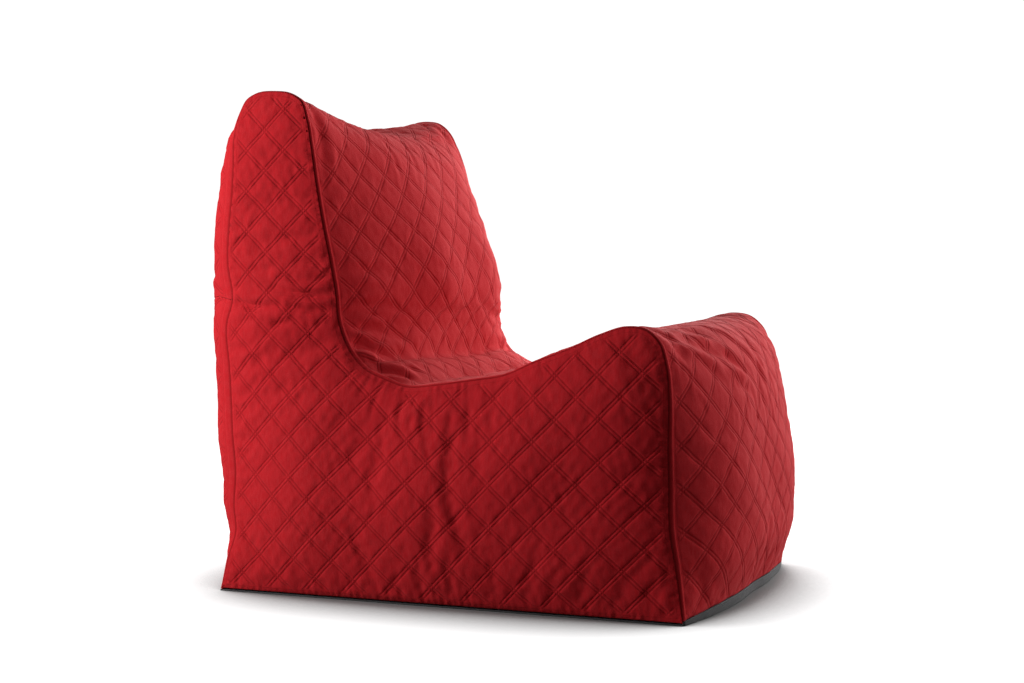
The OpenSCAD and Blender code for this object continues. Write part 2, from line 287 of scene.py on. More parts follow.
def grid_over(low, high, step):
    """A regular grid of points that starts at low and covers high."""
    shape = np.ceil((high - low) / step).astype(int) + 1
    return np.meshgrid(*(low[k] + step * np.arange(shape[k]) for k in (0, 1)), indexing="ij")


def fullness(outline, step=8 * MM):
    """How a taut skin held at the outline stands out under even pressure, from 0 to 1."""
    low = outline.min(0) - 3 * step
    gy, gz = grid_over(low, outline.max(0) + 3 * step, step)
    free = inside(gy, gz, outline)
    h = np.zeros(gy.shape)
    for _ in range(2600):
        near = (np.roll(h, 1, 0) + np.roll(h, -1, 0) + np.roll(h, 1, 1) + np.roll(h, -1, 1)) / 4
        h = np.where(free, near + step * step, 0)
    return Grid(low, step, h / h.max())


def tree_of(points):
    tree = kdtree.KDTree(len(points))
    for k, (y, z) in enumerate(points):
        tree.insert((y, z, 0), k)
    tree.balance()
    return tree


class Side:
    """One side panel's surface over y and z."""

    def __init__(self, left):
        self.left = left
        self.sign = 1.0 if left else -1.0
        self.outline, self.s = outline_of(left, 3.6 * MM)
        self.full = fullness(self.outline)
        self.extra = None
        fine, _ = outline_of(left, 1 * MM)
        self.tree = tree_of(fine)
        turn = np.roll(fine, -8, 0) - np.roll(fine, 8, 0)
        turn /= np.linalg.norm(turn, axis=1)[:, None]
        self.out = columns(-turn[:, 1], turn[:, 0])

    def to_seam(self, y, z):
        """Distance to the outline and the nearest outline point's number."""
        found = [self.tree.find((a, b, 0)) for a, b in zip(y, z)]
        return np.array([f[2] for f in found]), np.array([f[1] for f in found])

    def x(self, y, z, d):
        full = np.clip(self.full(y, z), 0, 1)
        crown = SIDE_BULGE * full**0.92 * (1 - np.exp(-d / (5 * MM)))
        uneven = 1.5 * MM * side_uneven(y * self.sign, z) * smooth(d, 0.0, 0.12)
        extra = 0.0 if self.extra is None else self.extra(y, z) * smooth(d, 0.0, 0.03)
        worn = folds(y - SET_BACK + self.left * 9 * MM, z + self.left * 14 * MM, SIDE_FOLDS)
        return seam_x(y, z) + crown + uneven + extra + worn * smooth(d, 2 * MM, 12 * MM)


# --- quilting


# Where a crossing of rows lies on a side and on the band; the side's rows lean back with height,
# and drop a little towards the front
SIDE_Y, SIDE_Z = -0.040, 0.230
BAND_X, BAND_S = 0.0117, 0.0241
LEAN = 25 * MM
DROP = 0.045


def rows_at(p, q):
    return p / DIAMOND_ACROSS + q / DIAMOND_UP, p / DIAMOND_ACROSS - q / DIAMOND_UP


def from_rows(i, j):
    return (i + j) / 2 * DIAMOND_ACROSS, (i - j) / 2 * DIAMOND_UP


def lean_at(z):
    return LEAN * smooth(z, 0.30, 0.72)


def drop_at(y):
    return DROP * np.maximum(0, SIDE_Y - y)


def slip_at(s):
    return FRONT_SLIP * (1 - smooth(s, 0.60, 1.10))


def lattice_of_side(y, z):
    """Row numbers of the two families of rows at a point of a side panel."""
    y = y - SET_BACK
    return rows_at(y - SIDE_Y - lean_at(z), z - SIDE_Z - drop_at(y))


def side_of_lattice(i, j):
    p, q = from_rows(i, j)
    y, z = p + SIDE_Y, q + SIDE_Z
    for _ in range(6):
        y = p + SIDE_Y + lean_at(z)
        z = q + SIDE_Z + drop_at(y)
    return y + SET_BACK, z


def lattice_of_band(x, s):
    slip = slip_at(s)
    return rows_at(x - BAND_X - slip * DIAMOND_ACROSS, s - BAND_S - slip * DIAMOND_UP)


def band_of_lattice(i, j):
    p, q = from_rows(i, j)
    s = q + BAND_S
    for _ in range(6):
        slip = slip_at(s)
        s = q + BAND_S + slip * DIAMOND_UP
    return p + BAND_X + slip * DIAMOND_ACROSS, s


def from_row(i):
    return np.abs(i - np.round(i)) * ROW_GAP


def quilting(i, j):
    """Height of the quilting over its rows: puffs, low strips between a pair, stitched grooves."""
    a, b = from_row(i), from_row(j)
    puff = 1.0
    for off in (a, b):
        puff = puff * (1 - np.exp(-np.maximum(0, off - 2 * MM) / PUFF_RISE))
    groove = np.maximum(bell(a - PAIR_HALF, GROOVE_WIDTH), bell(b - PAIR_HALF, GROOVE_WIDTH))
    return PUFF * puff - GROOVE * groove


# --- flat patterns and their meshes


def double_area(outline):
    """Twice the area inside the outline, below 0 where it runs clockwise."""
    y, z = outline.T
    return float(np.sum(y * np.roll(z, -1) - np.roll(y, -1) * z))


def rings_of(outline, depths):
    """Copies of an outline moved inward by set distances; pattern_mesh keeps the points that have that
    distance to all of it.
    """
    turn = np.roll(outline, -1, 0) - np.roll(outline, 1, 0)
    turn /= np.maximum(np.linalg.norm(turn, axis=1), 1e-9)[:, None]
    inward = columns(-turn[:, 1], turn[:, 0]) * np.sign(double_area(outline))
    return [outline + d * inward for d in depths]


def distance_to(points, outline):
    tree = tree_of(outline)
    return np.array([tree.find((y, z, 0))[2] for y, z in points])


def fine_outline(outline, step=1 * MM):
    nxt = np.roll(outline, -1, 0)
    parts = []
    for a, b in zip(outline, nxt):
        n = max(1, int(np.linalg.norm(b - a) / step))
        parts.append(a + np.linspace(0, 1, n, endpoint=False)[:, None] * (b - a))
    return np.concatenate(parts)


def lattice_points(shares, to_place, low, high, to_lattice):
    """The crossings of every row and the lines beside it, inside a box of the pattern."""
    corners = np.array([(y, z) for y in (low[0], high[0]) for z in (low[1], high[1])])
    i, j = to_lattice(*corners.T)
    lines_i = (np.arange(i.min() - 2, i.max() + 3).round()[:, None] + shares).ravel()
    lines_j = (np.arange(j.min() - 2, j.max() + 3).round()[:, None] + shares).ravel()
    gi, gj = np.meshgrid(lines_i, lines_j)
    y, z = to_place(gi.ravel(), gj.ravel())
    keep = (y > low[0]) & (y < high[0]) & (z > low[1]) & (z < high[1])
    return columns(y[keep], z[keep])


def triangulate(outline, rings, inner):
    """A mesh of the flat pattern: its outline comes first, then the rings and the inner points."""
    points = np.concatenate([outline] + rings + [inner])
    count = len(outline)
    edges = [(k, (k + 1) % count) for k in range(count)]
    made = geometry.delaunay_2d_cdt([Vector(p) for p in points], edges, [], 1, 1e-6, False)
    verts = np.array([tuple(v) for v in made[0]])
    faces = np.array([f for f in made[2] if len(f) == 3], int)
    a, b, c = (verts[faces[:, k]] for k in range(3))
    turn = (b[:, 0] - a[:, 0]) * (c[:, 1] - a[:, 1]) - (b[:, 1] - a[:, 1]) * (c[:, 0] - a[:, 0])
    faces[turn < 0] = faces[turn < 0][:, ::-1]
    middle = verts[faces].mean(axis=1)
    within = inside(*middle.T, outline) & (np.abs(turn) > 1e-12)
    return verts, faces[within]


def pattern_mesh(outline, depths, shares, to_place, to_lattice):
    fine = fine_outline(outline)
    rings = []
    for depth, ring in zip(depths, rings_of(outline, depths)):
        gap = distance_to(ring, fine)
        keep = (gap > depth - 0.35 * MM) & inside(*ring.T, outline)
        rings.append(ring[keep])
    low, high = outline.min(0), outline.max(0)
    inner = lattice_points(shares, to_place, low, high, to_lattice)
    inner = inner[inside(*inner.T, outline)]
    inner = inner[distance_to(inner, fine) > depths[-1] + 1.8 * MM]
    return triangulate(outline, rings, inner)


def coarse_mesh(outline, step, margin):
    low, high = outline.min(0), outline.max(0)
    gy, gz = np.meshgrid(*(np.arange(low[k] + step / 3, high[k], step) for k in (0, 1)))
    inner = columns(gy.ravel(), gz.ravel())
    inner = inner[inside(*inner.T, outline)]
    inner = inner[distance_to(inner, fine_outline(outline)) > margin]
    return triangulate(outline, [], inner)


# The lines of points along a row, in rows: close together beside its stitches
SIDE_SHARES = np.array([-0.41, -0.32, -0.235, -0.165, -0.115, -0.084, -0.056, -0.028, 0,
                        0.028, 0.056, 0.084, 0.115, 0.165, 0.235, 0.32, 0.41, 0.5])
BAND_SHARES = np.array([-0.35, -0.22, -0.13, -0.088, -0.056, -0.024, 0.024, 0.056, 0.088, 0.13,
                        0.22, 0.35, 0.5])


def mesh_object(name, points, faces, uvs, flip=False):
    """A smooth-shaded object from arrays; uvs maps a layer's name to its values at each point."""
    mesh = bpy.data.meshes.new(name)
    faces = np.asarray(faces, np.int32)
    if flip:
        faces = faces[:, ::-1]
    mesh.vertices.add(len(points))
    mesh.vertices.foreach_set("co", np.asarray(points, np.float32).ravel())
    mesh.loops.add(faces.size)
    mesh.loops.foreach_set("vertex_index", np.ascontiguousarray(faces).ravel())
    mesh.polygons.add(len(faces))
    mesh.polygons.foreach_set("loop_start", np.arange(0, faces.size, 3, dtype=np.int32))
    mesh.polygons.foreach_set("use_smooth", np.ones(len(faces), bool))
    for layer, values in uvs.items():
        data = mesh.uv_layers.new(name=layer).data
        data.foreach_set("uv", np.asarray(values, np.float32)[faces.ravel()].ravel())
    mesh.update(calc_edges=True)
    mesh.validate()
    obj = bpy.data.objects.new(name, mesh)
    bpy.context.scene.collection.objects.link(obj)
    return obj


def close_sheet(front, front_faces, back, back_faces, rim):
    """Joins an outer and an inner skin whose first rim points match."""
    shift = len(front)
    k = np.arange(rim)
    n = (k + 1) % rim
    sides = np.concatenate([columns(k, k + shift, n), columns(n, k + shift, n + shift)])
    faces = np.concatenate([front_faces, back_faces[:, ::-1] + shift, sides])
    return np.concatenate([front, back]), faces


# --- folds

# Folds of the right side: from y, z to y, z, depth and width, all in mm
SIDE_FOLDS = (
    (342, 586, 206, 571, 4.2, 8), (430, 560, 322, 548, 4.2, 8), (379, 620, 325, 621, 2.2, 7),
    (331, 517, 288, 518, 2.2, 7), (311, 681, 250, 683, 1.3, 7), (281, 820, 255, 812, 1.6, 7),
    (320, 555, 212, 541, 2.4, 8), (300, 600, 205, 606, 1.8, 8), (290, 640, 214, 634, 1.4, 8),
    (111, 386, 119, 343, 1.2, 6), (57, 379, 63, 343, 1.4, 6),
    (34, 358, 38, 327, 1.0, 6), (-44, 361, -36, 329, 1.2, 6), (-123, 364, -119, 336, 1.0, 6),
    (12, 376, 15, 338, 1.0, 6), (428, 300, 385, 296, 1.4, 7), (430, 210, 392, 205, 1.2, 7),
    (426, 380, 380, 378, 1.2, 7), (430, 470, 372, 474, 1.4, 7), (428, 700, 392, 696, 1.4, 7),
    (424, 770, 396, 772, 1.2, 7), (-440, 300, -402, 296, 1.0, 7), (-441, 200, -400, 204, 1.0, 7),
)

# Folds of the band, from x, s to x, s, depth and width, all in mm
BAND_FOLDS = (
    (-325, 1177, -245, 1164, 5.5, 10), (-345, 1150, -300, 1128, 7.0, 12),
    (-312, 1130, -245, 1066, 8.0, 13), (-345, 1076, -295, 1014, 7.5, 12),
    (-286, 1112, -236, 1030, -3.0, 11), (-266, 1150, -188, 1095, -2.6, 11),
    (-315, 1223, -205, 1218, 3.0, 9), (-310, 1284, -200, 1279, 2.6, 9),
    (-320, 1248, -235, 1246, 2.4, 8), (305, 1180, 215, 1172, 4.2, 10),
    (340, 1120, 255, 1070, 6.0, 12), (318, 1240, 210, 1238, 2.6, 9),
    (-88, 1564, -97, 1469, 1.1, 6), (18, 1582, -36, 1460, 1.2, 6), (129, 1600, 75, 1478, 1.2, 6),
    (164, 1610, 223, 1520, 1.1, 6), (70, 1590, 40, 1500, 0.9, 6),
    (-189, 470, -62, 423, 6.0, 11), (-230, 505, -120, 452, -4.0, 12),
    (-317, 484, -162, 423, -3.6, 10), (-162, 423, -31, 396, -3.2, 10),
    (-294, 500, -60, 512, -2.6, 11), (-60, 512, 62, 410, -2.4, 11),
    (300, 492, 180, 440, 2.6, 9), (318, 470, 236, 396, 1.6, 8),
    (-110, 420, -100, 345, 0.9, 6), (-60, 405, -55, 320, 1.0, 6), (-10, 420, 5, 330, 0.9, 6),
    (40, 400, 50, 310, 1.0, 6), (90, 420, 96, 330, 0.9, 6), (140, 400, 152, 320, 0.9, 6),
    (330, 2080, 250, 2084, 1.6, 8), (-330, 2080, -250, 2084, 1.6, 8),
)


def folds(x, y, table):
    """Height of a list of folds over a pattern: each is a valley between two low ridges."""
    total = np.zeros(len(x))
    for ax, ay, bx, by, depth, width in np.array(table, float) * MM:
        run_x, run_y = bx - ax, by - ay
        size = math.hypot(run_x, run_y)
        t = ((x - ax) * run_x + (y - ay) * run_y) / size**2
        off = ((x - ax) * run_y - (y - ay) * run_x) / size
        off = off + 0.05 * size * np.sin(math.pi * np.clip(t, 0, 1))
        ends = smooth(t, -0.15, 0.3) * (1 - smooth(t, 0.7, 1.15))
        ridge = bell(np.abs(off) - 1.9 * width, 1.1 * width)
        total -= depth * ends * (bell(off, width) - 0.55 * ridge)
    return total


# --- the side panels

rumple = Waves(16 * MM, 45 * MM, 40)
pucker = Waves(11 * MM, 30 * MM, 30, spread=0.02)


def side_points(side, uv, relief):
    """The 3-D places of pattern points of a side panel; relief adds the quilting and the seam."""
    y, z = uv.T
    d, near = side.to_seam(y, z)
    x = side.x(y, z, d)
    step = 2 * MM
    sides = [side.to_seam(y + a, z + b)[0] for a, b in ((step, 0), (0, step))]
    dy = (side.x(y + step, z, sides[0]) - x) / step
    dz = (side.x(y, z + step, sides[1]) - x) / step
    size = np.sqrt(1 + dy * dy + dz * dz)
    nx, ny, nz = 1 / size, -dy / size, -dz / size
    edge = side.out[near]
    pull = 2.2 * MM * np.exp(-d / (3.5 * MM))
    if relief:
        i, j = lattice_of_side(y, z)
        high = quilting(i, j) * smooth(d, 3 * MM, 16 * MM)
        high = high + 0.32 * MM * rumple(y, z) * smooth(d, 2 * MM, 20 * MM)
        high = high + 0.6 * MM * pucker(near * MM, 0 * d) * np.exp(-d / (16 * MM)) * smooth(d, 0, 6 * MM)
    else:
        high = -COVER_T * smooth(d, 0.0, 8 * MM)
        pull = pull + (COVER_T * (1 - smooth(d, 0.0, 8 * MM)))
    px = side.sign * (x + high * nx + SEAM_GAP)
    py = y + high * ny - pull * edge[:, 0]
    pz = z + high * nz - pull * edge[:, 1]
    return columns(px, py, pz), columns(d, near * MM)


def quilted_panel(name, outline, depths, shares, to_place, to_lattice, points_of, flip=False):
    """A closed panel: a fine outer skin with its relief, and a coarse inner one."""
    verts, faces = pattern_mesh(outline, np.array(depths) * MM, shares, to_place, to_lattice)
    back, back_faces = coarse_mesh(outline, 22 * MM, 12 * MM)
    outer, edge = points_of(verts, True)
    inner, edge_in = points_of(back, False)
    points, all_faces = close_sheet(outer, faces, inner, back_faces, len(outline))
    flat = np.concatenate([verts, back])
    uvs = {"rows": columns(*to_lattice(*flat.T)) * ROW_GAP,
           "edge": np.concatenate([edge, edge_in]), "cloth": flat}
    return mesh_object(name, points, all_faces, uvs, flip)


def make_side(side, name):
    return quilted_panel(name, side.outline, (1.5, 3, 5, 7.5, 10.5, 14), SIDE_SHARES,
                         side_of_lattice, lattice_of_side,
                         lambda uv, relief: side_points(side, uv, relief), flip=side.left == 0)



# --- the band's panels

FRONT_RIM = 9 * MM


def front_edge(x):
    """Where the band starts above the floor: the base curls up in front of it."""
    return 4 * MM + FRONT_RIM * (1 - np.abs(x / HALF_W) ** 3)


def run(points, step=4 * MM):
    """Even points along an open chain of corners, without its last one."""
    parts = []
    for a, b in zip(points[:-1], points[1:]):
        a, b = np.array(a, float), np.array(b, float)
        n = max(1, int(round(np.linalg.norm(b - a) / step)))
        parts.append(a + np.linspace(0, 1, n, endpoint=False)[:, None] * (b - a))
    return np.concatenate(parts)


def zip_edge():
    """The zip's opening along one panel's edge, from left to right: x and distance from ZIP_S."""
    near = 0.25 * MM
    return [(-HALF_W, near), (-ZIP_SHUT_X, near), (-ZIP_OPEN_X, ZIP_GAP), (ZIP_OPEN_X, ZIP_GAP),
            (ZIP_SHUT_X, near), (HALF_W, near)]


def centre_outline():
    xs = np.linspace(-HALF_W, HALF_W, int(2 * HALF_W / (4 * MM)) + 1)
    foot = columns(xs, front_edge(xs))[:-1]
    top = [(x, ZIP_S - d) for x, d in zip_edge()][::-1]
    low = float(front_edge(HALF_W))
    return np.concatenate([foot, run([(HALF_W, low), *top, (-HALF_W, low)])])


def lower_outline():
    top = [(x, ZIP_S + d) for x, d in zip_edge()]
    return run([*top, (HALF_W, LENGTH), (-HALF_W, LENGTH), top[0]])


def band_normal(x, s, step=2.5 * MM):
    ax, ay, az = band(x - step, s)
    bx, by, bz = band(x + step, s)
    cx, cy, cz = band(x, s - step)
    dx, dy, dz = band(x, s + step)
    n = np.cross(columns(bx - ax, by - ay, bz - az), columns(dx - cx, dy - cy, dz - cz))
    return n / np.maximum(np.linalg.norm(n, axis=1), 1e-12)[:, None]


def band_points(uv, relief):
    x, s = uv.T
    px, py, pz = band(x, s)
    normal = band_normal(x, s)
    d = HALF_W - np.abs(x)
    flat = columns(0 * s, at(s, NORMAL[:, 0]), at(s, NORMAL[:, 1]))
    blend = smooth(d, 2 * MM, 14 * MM)[:, None]
    normal = normal * blend + flat * (1 - blend)
    normal /= np.linalg.norm(normal, axis=1)[:, None]
    to_end = np.abs(s - ZIP_S)
    at_zip = smooth(ZIP_SHUT_X - np.abs(x), -2 * MM, 10 * MM)
    if relief:
        i, j = lattice_of_band(x, s)
        quilt = quilting(i, j) * smooth(d, 7 * MM, 20 * MM)
        calm_zip = smooth(to_end, ZIP_GAP + 6 * MM, ZIP_GAP + 20 * MM)
        quilt = quilt * calm_zip
        welt = -1.6 * MM * bell(d, 1.6 * MM) + 1.1 * MM * bell(d - 4.8 * MM, 2.6 * MM)
        welt = welt - 0.7 * MM * bell(d - 9.5 * MM, 1.3 * MM)
        ends = to_end - ZIP_GAP * at_zip
        hem = -1.2 * MM * bell(ends, 1.5 * MM) * (1 - 0.6 * at_zip)
        hem = hem - 0.7 * MM * bell(ends - 6.5 * MM, 1.2 * MM)
        low = -2.0 * MM * bell(s - front_edge(x), 2.5 * MM)
        high = quilt + welt + hem + low
        calm = smooth(d, 4 * MM, 24 * MM)
        high = high + 0.32 * MM * rumple(x + 3, s) * calm * calm_zip
        edge_pucker = pucker(s * 1.1, 0 * s + 5) * np.exp(-d / (20 * MM))
        high = high + 0.6 * MM * edge_pucker * smooth(d, 8 * MM, 16 * MM)
        skin = high + folds(x, s, BAND_FOLDS) * smooth(d, 4 * MM, 20 * MM)
    else:
        skin = np.full(len(s), -COVER_T)
        skin = skin - 2.2 * MM * (1 - smooth(d, 0.0, 8 * MM))
    gap = SEAM_GAP * (1 - smooth(d, 0, 6 * MM)) * np.sign(x)
    return columns(px - gap, py, pz) + skin[:, None] * normal, columns(d, s)


def make_band(outline, name):
    return quilted_panel(name, outline, (1.5, 3, 4.5, 6, 7.5, 9.5, 11.5, 14), BAND_SHARES,
                         band_of_lattice, lattice_of_band, band_points)


# --- materials


class Shader:
    """Short calls for a material's nodes."""

    def __init__(self, name):
        self.material = bpy.data.materials.new(name)
        self.material.use_nodes = True
        self.tree = self.material.node_tree
        self.bsdf = self.tree.nodes["Principled BSDF"]

    def put(self, socket, value):
        if isinstance(value, bpy.types.NodeSocket):
            self.tree.links.new(value, socket)
        elif value is not None:
            socket.default_value = value

    def math(self, kind, a, b=None):
        node = self.tree.nodes.new("ShaderNodeMath")
        node.operation = kind
        for socket, value in zip(node.inputs, (a, b)):
            self.put(socket, value)
        return node.outputs[0]

    def times(self, a, b):
        return self.math("MULTIPLY", a, b)

    def apart(self, a, b):
        return self.math("ABSOLUTE", self.math("SUBTRACT", a, b))

    def uv(self, layer):
        node = self.tree.nodes.new("ShaderNodeUVMap")
        node.uv_map = layer
        split = self.tree.nodes.new("ShaderNodeSeparateXYZ")
        self.put(split.inputs[0], node.outputs[0])
        return split.outputs[0], split.outputs[1], node.outputs[0]

    def object_place(self):
        return self.tree.nodes.new("ShaderNodeTexCoord").outputs["Object"]

    def noise(self, vector, scale, detail=3.0, rough=0.55, stretch=None):
        if stretch is not None:
            mapping = self.tree.nodes.new("ShaderNodeMapping")
            mapping.inputs["Scale"].default_value = stretch
            self.put(mapping.inputs["Vector"], vector)
            vector = mapping.outputs[0]
        node = self.tree.nodes.new("ShaderNodeTexNoise")
        node.inputs["Scale"].default_value = scale
        node.inputs["Detail"].default_value = detail
        node.inputs["Roughness"].default_value = rough
        self.put(node.inputs["Vector"], vector)
        return node.outputs["Fac"]

    def remap(self, value, a, b, c=0.0, d=1.0, kind="SMOOTHSTEP"):
        node = self.tree.nodes.new("ShaderNodeMapRange")
        node.interpolation_type = kind
        for key, v in zip(("From Min", "From Max", "To Min", "To Max"), (a, b, c, d)):
            node.inputs[key].default_value = v
        self.put(node.inputs["Value"], value)
        return node.outputs[0]

    def mix(self, share, a, b):
        node = self.tree.nodes.new("ShaderNodeMix")
        node.data_type = "RGBA"
        self.put(node.inputs[0], share)
        self.put(node.inputs[6], a if not isinstance(a, tuple) else (*a, 1.0))
        self.put(node.inputs[7], b if not isinstance(b, tuple) else (*b, 1.0))
        return node.outputs[2]

    def bump(self, height, distance, strength=1.0, normal=None):
        node = self.tree.nodes.new("ShaderNodeBump")
        node.inputs["Strength"].default_value = strength
        node.inputs["Distance"].default_value = distance
        self.put(node.inputs["Height"], height)
        self.put(node.inputs["Normal"], normal)
        return node.outputs[0]

    def set(self, **values):
        for key, value in values.items():
            self.put(self.bsdf.inputs[key.replace("_", " ")], value)


def weave(m, u, v, pitch):
    """Plain weave over u and v in metres: threads pass over and under each other."""
    turn = 2 * math.pi / pitch
    across = m.math("SINE", m.times(u, turn))
    along = m.math("SINE", m.times(v, turn))
    return m.times(across, along)


def stitches(m, distance, along, place, width=0.55 * MM, pitch=3.4 * MM):
    """1 on the threads of a line of stitches that lies at a set distance from a line."""
    off = m.apart(distance, place)
    line = m.remap(off, width * 0.6, width * 1.3, 1.0, 0.0)
    part = m.math("FRACT", m.math("DIVIDE", along, pitch))
    dash = m.remap(m.apart(part, 0.5), 0.34, 0.46, 1.0, 0.0)
    return m.times(line, dash)


def quilted_cloth():
    m = Shader("quilted_cover")
    ri, rj, _ = m.uv("rows")
    d, along, _ = m.uv("edge")
    u, v, cloth = m.uv("cloth")
    place = m.object_place()
    a = m.math("PINGPONG", ri, ROW_GAP / 2)
    b = m.math("PINGPONG", rj, ROW_GAP / 2)
    rows = m.math("MAXIMUM", stitches(m, a, rj, PAIR_HALF), stitches(m, b, ri, PAIR_HALF))
    away = m.remap(d, 10 * MM, 16 * MM)
    rows = m.times(rows, away)
    top = m.math("MAXIMUM", rows, stitches(m, d, along, 9.5 * MM))
    # Painted shade: the colour darkens in the quilting's stitched grooves and within a few mm of each seam,
    # as shade in those creases; groove also shapes the bump below.
    grooves = [m.remap(m.apart(off, PAIR_HALF), 0.4 * MM, 2.2 * MM, 1.0, 0.0) for off in (a, b)]
    groove = m.times(m.math("MAXIMUM", *grooves), away)
    seam = m.remap(d, 0.2 * MM, 2.4 * MM, 1.0, 0.0)
    painted_crease_shade = m.math("MAXIMUM", m.times(groove, 0.45), seam)
    heather = m.noise(cloth, 900, 2.0, 0.6)
    fibre = m.noise(cloth, 260, 3.0, 0.6, stretch=(1.0, 0.25, 1.0))
    patch = m.noise(place, 5.5, 3.0, 0.5)
    red = m.mix(m.remap(heather, 0.3, 0.7), (0.50, 0.013, 0.019), (0.66, 0.030, 0.037))
    red = m.mix(m.remap(fibre, 0.35, 0.68), red, (0.56, 0.013, 0.019))
    red = m.mix(m.times(m.remap(patch, 0.35, 0.7), 0.35), red, (0.53, 0.013, 0.020))
    # Painted crease shade: darkens the red in the grooves and along the seams.
    red = m.mix(m.times(painted_crease_shade, 0.62), red, (0.22, 0.003, 0.005))
    red = m.mix(m.times(top, 0.55), red, (0.42, 0.008, 0.012))
    m.set(Base_Color=red, Roughness=0.9, Specular_IOR_Level=0.08, Sheen_Weight=0.07,
          Sheen_Roughness=0.45)
    m.bsdf.inputs["Sheen Tint"].default_value = (1.0, 0.45, 0.42, 1.0)
    high = m.times(weave(m, u, v, 1.3 * MM), 0.5)
    high = m.math("ADD", high, m.times(fibre, 1.2))
    normal = m.bump(high, 0.12 * MM, 0.8)
    thread = m.math("SUBTRACT", m.times(top, 0.5), groove)
    normal = m.bump(thread, 0.5 * MM, 0.8, normal)
    crumple = m.noise(cloth, 95, 3.0, 0.55)
    normal = m.bump(crumple, 1.3 * MM, 0.3, normal)
    m.set(Normal=normal)
    return m.material


def plain(name, colour, other, pitch=0.8 * MM):
    """Plain woven cloth: two close colours, and its threads."""
    m = Shader(name)
    place = m.object_place()
    split = m.tree.nodes.new("ShaderNodeSeparateXYZ")
    m.put(split.inputs[0], place)
    speck = m.noise(place, 300.0, 3.0, 0.6)
    m.set(Base_Color=m.mix(m.remap(speck, 0.3, 0.7), colour, other), Roughness=0.85,
          Sheen_Weight=0.15)
    turn = weave(m, m.math("ADD", split.outputs[0], split.outputs[1]), split.outputs[2], pitch)
    m.set(Normal=m.bump(m.math("ADD", turn, speck), 0.1 * MM, 0.6))
    return m.material


def seen(tree):
    """1 where the camera looks straight at something, 0 for light that bounces."""
    return tree.nodes.new("ShaderNodeLightPath").outputs["Is Camera Ray"]


def floor_material():
    """A pale floor that throws little light back up. To the camera alone it glows white, with a painted
    contact shadow that dims the glow where ambient occlusion finds the chair close.
    """
    m = Shader("studio_floor")
    bounce = (FLOOR_BOUNCE, FLOOR_BOUNCE, FLOOR_BOUNCE)
    m.set(Base_Color=(*bounce, 1.0), Roughness=0.9, Specular_IOR_Level=0.1,
          Emission_Color=(1, 1, 1, 1))
    open_sky = m.tree.nodes.new("ShaderNodeAmbientOcclusion")
    open_sky.inputs["Distance"].default_value = SHADOW_REACH
    open_sky.samples = 16
    # Painted contact shadow: the camera-only glow fades where the chair's parts shut in the floor.
    glow_with_painted_shadow = m.remap(open_sky.outputs["AO"], 0.45, 0.85, 0.0, FLOOR_GLOW, kind="LINEAR")
    m.put(m.bsdf.inputs["Emission Strength"], m.times(seen(m.tree), glow_with_painted_shadow))
    return m.material


# --- cloth simulation

SIM_STEP = 12 * MM
SIM_FRAMES = 20
SIM_SLACK = 0.015
SIM_LIMIT = 5 * MM
SIM_WINDOW = 9


def cloth_on(piece):
    """The cloth settings: a little slack, blown outward by the beads, its edge held."""
    settings = piece.modifiers.new("cloth", "CLOTH").settings
    settings.quality = 5
    settings.mass = 0.3
    settings.tension_stiffness = 15
    settings.compression_stiffness = 12
    settings.shear_stiffness = 6
    settings.bending_stiffness = 0.6
    settings.shrink_min = -SIM_SLACK
    settings.use_pressure = True
    settings.uniform_pressure_force = 4.0
    settings.effector_weights.gravity = 0.0
    settings.vertex_group_mass = "held"


def relax(name, places, present, held):
    """Runs the cloth simulation on a grid of points and gives how far each one moves."""
    index = np.full(present.shape, -1)
    index[present] = np.arange(present.sum())
    quads = np.stack([index[:-1, :-1], index[1:, :-1], index[1:, 1:], index[:-1, 1:]], -1)
    quads = quads.reshape(-1, 4)
    quads = quads[(quads >= 0).all(axis=1)]
    mesh = bpy.data.meshes.new(name)
    mesh.from_pydata(places[present].tolist(), [], quads.tolist())
    piece = bpy.data.objects.new(name, mesh)
    bpy.context.scene.collection.objects.link(piece)
    group = piece.vertex_groups.new(name="held")
    group.add(index[present & held].tolist(), 1.0, "REPLACE")
    cloth_on(piece)
    for number in range(1, SIM_FRAMES + 1):
        bpy.context.scene.frame_set(number)
    done = piece.evaluated_get(bpy.context.evaluated_depsgraph_get()).to_mesh()
    after = np.zeros(len(done.vertices) * 3)
    done.vertices.foreach_get("co", after)
    moved = np.zeros(places.shape)
    moved[present] = after.reshape(-1, 3) - places[present]
    bpy.data.objects.remove(piece)
    bpy.data.meshes.remove(mesh)
    bpy.context.scene.frame_set(1)
    return moved


def wrinkles_only(height):
    """Takes the broad bulge away from the simulated height, and limits what is left."""
    window = np.hanning(SIM_WINDOW + 2)[1:-1]
    window /= window.sum()
    broad = height
    for axis in (0, 1):
        broad = np.apply_along_axis(lambda row: np.convolve(row, window, mode="same"), axis, broad)
    return SIM_LIMIT * np.tanh((height - broad) / SIM_LIMIT)


def simulate_side(side):
    low_corner = side.outline.min(0)
    gy, gz = grid_over(low_corner, side.outline.max(0), SIM_STEP)
    flat_y, flat_z = gy.ravel(), gz.ravel()
    d, _ = side.to_seam(flat_y, flat_z)
    places = np.stack([side.x(flat_y, flat_z, d).reshape(gy.shape), gy, gz], axis=-1)
    present = inside(gy, gz, side.outline)
    moved = relax("side_cloth", places, present, d.reshape(gy.shape) < 1.2 * SIM_STEP)
    return Grid(low_corner, SIM_STEP, wrinkles_only(moved[..., 0]))


